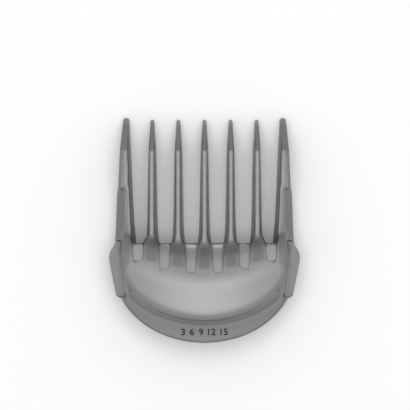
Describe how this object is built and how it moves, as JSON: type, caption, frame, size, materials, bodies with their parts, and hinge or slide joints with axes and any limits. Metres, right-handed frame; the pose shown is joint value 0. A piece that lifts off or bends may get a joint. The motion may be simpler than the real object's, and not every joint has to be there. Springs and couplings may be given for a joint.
{
  "type": "hair clipper guide comb",
  "caption": "Clip-on guide comb for a hair clipper: arched hood and flared skirt, long tapered teeth tied by a cross bar, and sprung clip arms at the sides.",
  "frame": {"origin": "middle of the box on the plane of the skin face, so the comb lies on z = 0 as in use", "axes": "+Y along the teeth towards their tips, +Z out of the crown of the hood, +X to the right"},
  "size_m": [0.047, 0.0556, 0.021],
  "materials": {
    "smoke_plastic": "satin moulded smoke-grey plastic, faintly translucent",
    "mark_ink": "thin dark pad print"
  },
  "bodies": {
    "comb": {"hood": "smoke_plastic", "skirt": "smoke_plastic", "cross_bar": "smoke_plastic", "left_crown_rib": "smoke_plastic", "right_crown_rib": "smoke_plastic", "left_cheek": "smoke_plastic", "right_cheek": "smoke_plastic", "tooth_1": "smoke_plastic", "tooth_2": "smoke_plastic", "tooth_3": "smoke_plastic", "tooth_4": "smoke_plastic", "tooth_5": "smoke_plastic"},
    "left_clip": {"left_clip_arm": "smoke_plastic", "left_guide_rail": "smoke_plastic", "left_catch": "smoke_plastic"},
    "right_clip": {"right_clip_arm": "smoke_plastic", "right_guide_rail": "smoke_plastic", "right_catch": "smoke_plastic"}
  },
  "joints": [
    {"name": "left_clip_flex", "type": "hinge", "parent": "comb", "child": "left_clip", "pos_m": [-0.021, -0.00385, 0.006], "axis": [0, 0, -1], "range_deg": [0, 7], "stiffness_Nm_per_rad": 0.25},
    {"name": "right_clip_flex", "type": "hinge", "parent": "comb", "child": "right_clip", "pos_m": [0.021, -0.00385, 0.006], "axis": [0, 0, 1], "range_deg": [0, 7], "stiffness_Nm_per_rad": 0.25}
  ]
}
